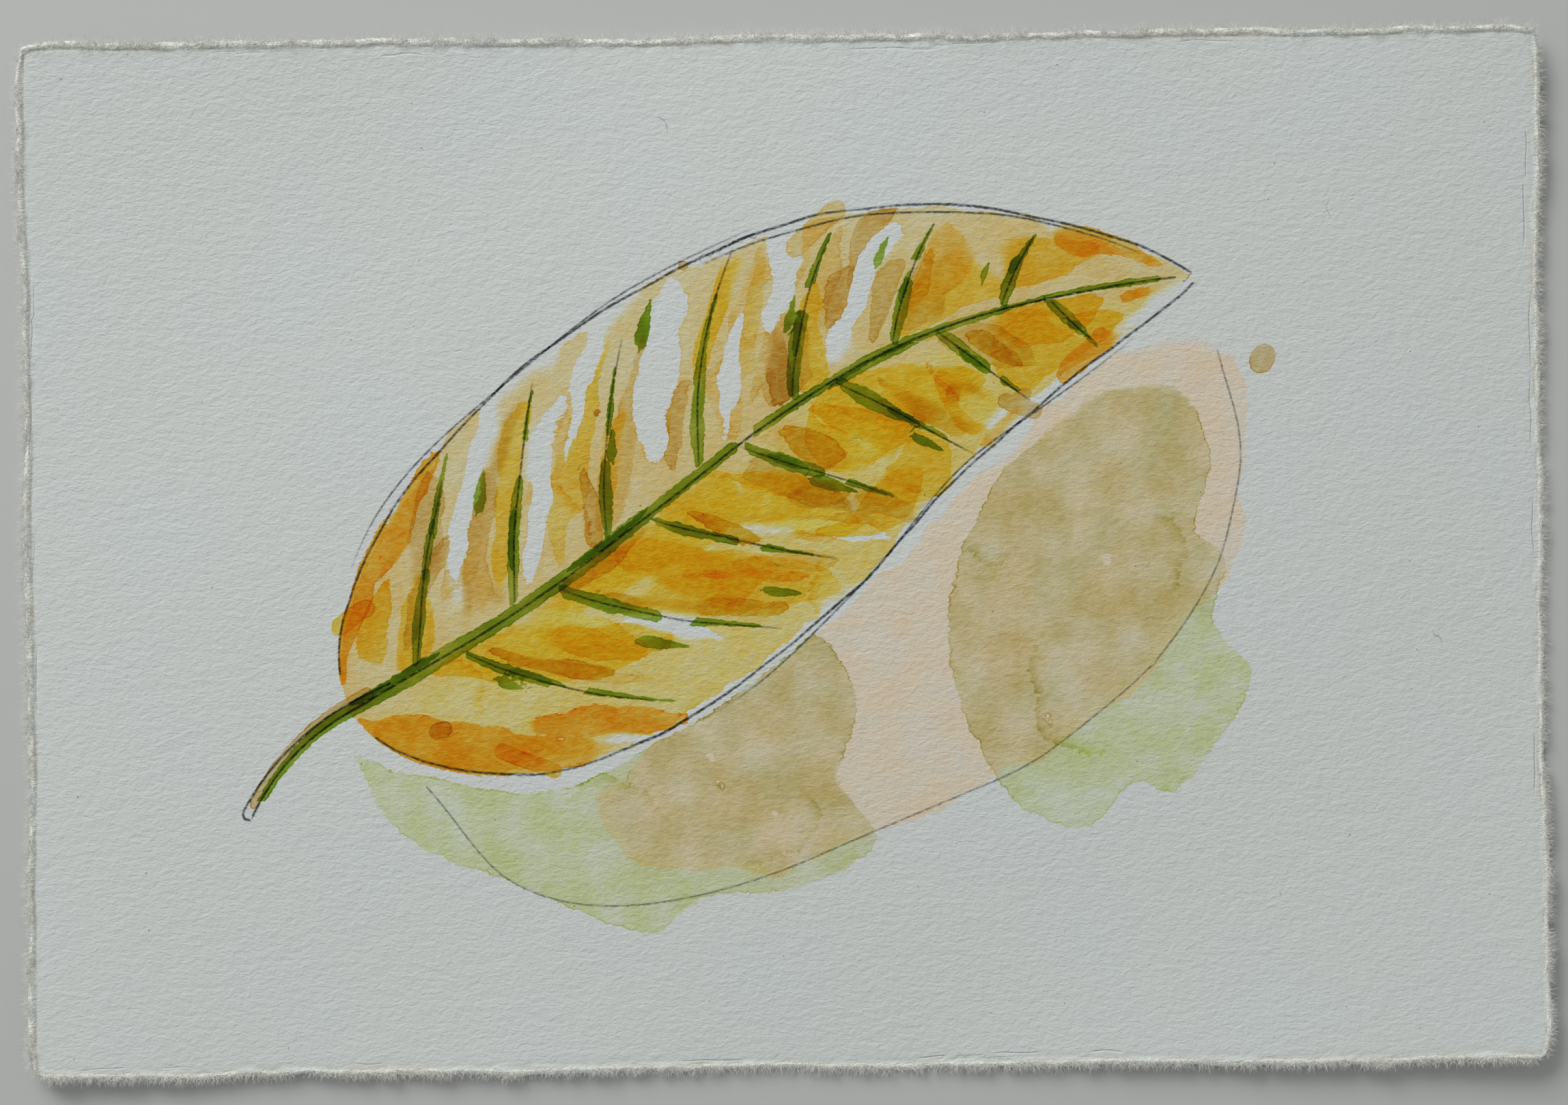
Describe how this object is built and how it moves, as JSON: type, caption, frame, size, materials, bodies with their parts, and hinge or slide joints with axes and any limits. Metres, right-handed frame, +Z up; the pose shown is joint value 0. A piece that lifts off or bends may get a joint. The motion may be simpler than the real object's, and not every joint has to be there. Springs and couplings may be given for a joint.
{
  "type": "painted watercolour sheet",
  "caption": "Hand-torn sheet of cold-pressed watercolour paper with feathered edges and slightly lifted corners, painted in washes with an autumn leaf.",
  "frame": {"origin": "under the centre of the sheet, on the surface that it lies on", "axes": "+X along the long side to the right as the picture is seen, +Y along the short side to the picture's top, +Z up out of the painted face"},
  "size_m": [0.2794, 0.1906, 0.0035],
  "materials": {
    "painted_cotton_paper": "matt cold-pressed cotton paper with transparent watercolour washes and pencil on its upper face"
  },
  "bodies": {
    "root": {"painted_sheet": "painted_cotton_paper"}
  },
  "joints": []
}
